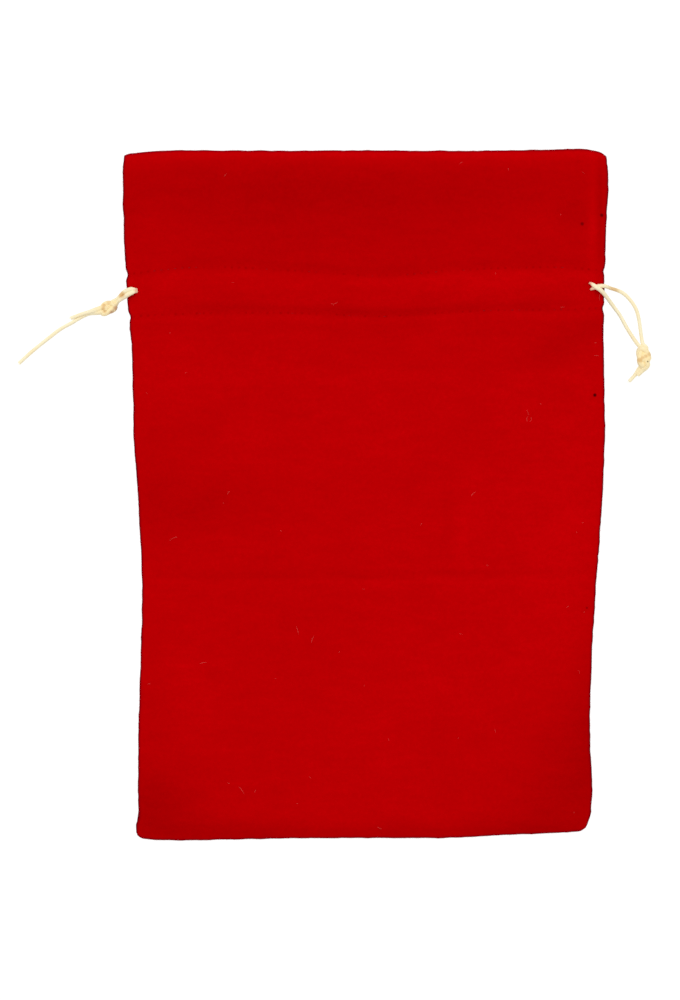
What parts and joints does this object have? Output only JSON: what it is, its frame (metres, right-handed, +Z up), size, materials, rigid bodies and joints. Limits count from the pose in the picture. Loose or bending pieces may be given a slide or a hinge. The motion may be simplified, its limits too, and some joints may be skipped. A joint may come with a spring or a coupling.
{
  "type": "kinchaku drawstring pouch",
  "caption": "Flat velvet kinchaku pouch with a folded header, a stitched casing and a knotted cream drawstring at each side",
  "frame": {"origin": "on the surface it lies on, under the middle of the pouch without its free cords", "axes": "+Y toward the mouth, +Z up out of the front panel, +X to the right with the mouth away from the viewer"},
  "size_m": [0.2764, 0.3, 0.0117],
  "materials": {
    "velvet": "short red velvet pile",
    "thread": "matt red sewing thread",
    "cord": "pale cream twisted cotton cord"
  },
  "bodies": {
    "root": {"front_panel": "velvet", "back_panel": "velvet", "upper_casing_stitching": "thread", "lower_casing_stitching": "thread", "seam_stitching": "thread", "left_drawstring": "cord", "right_drawstring": "cord", "left_knot": "cord", "right_knot": "cord", "left_short_tail": "cord", "left_long_tail": "cord", "right_long_tail": "cord", "right_short_tail": "cord"}
  },
  "joints": []
}
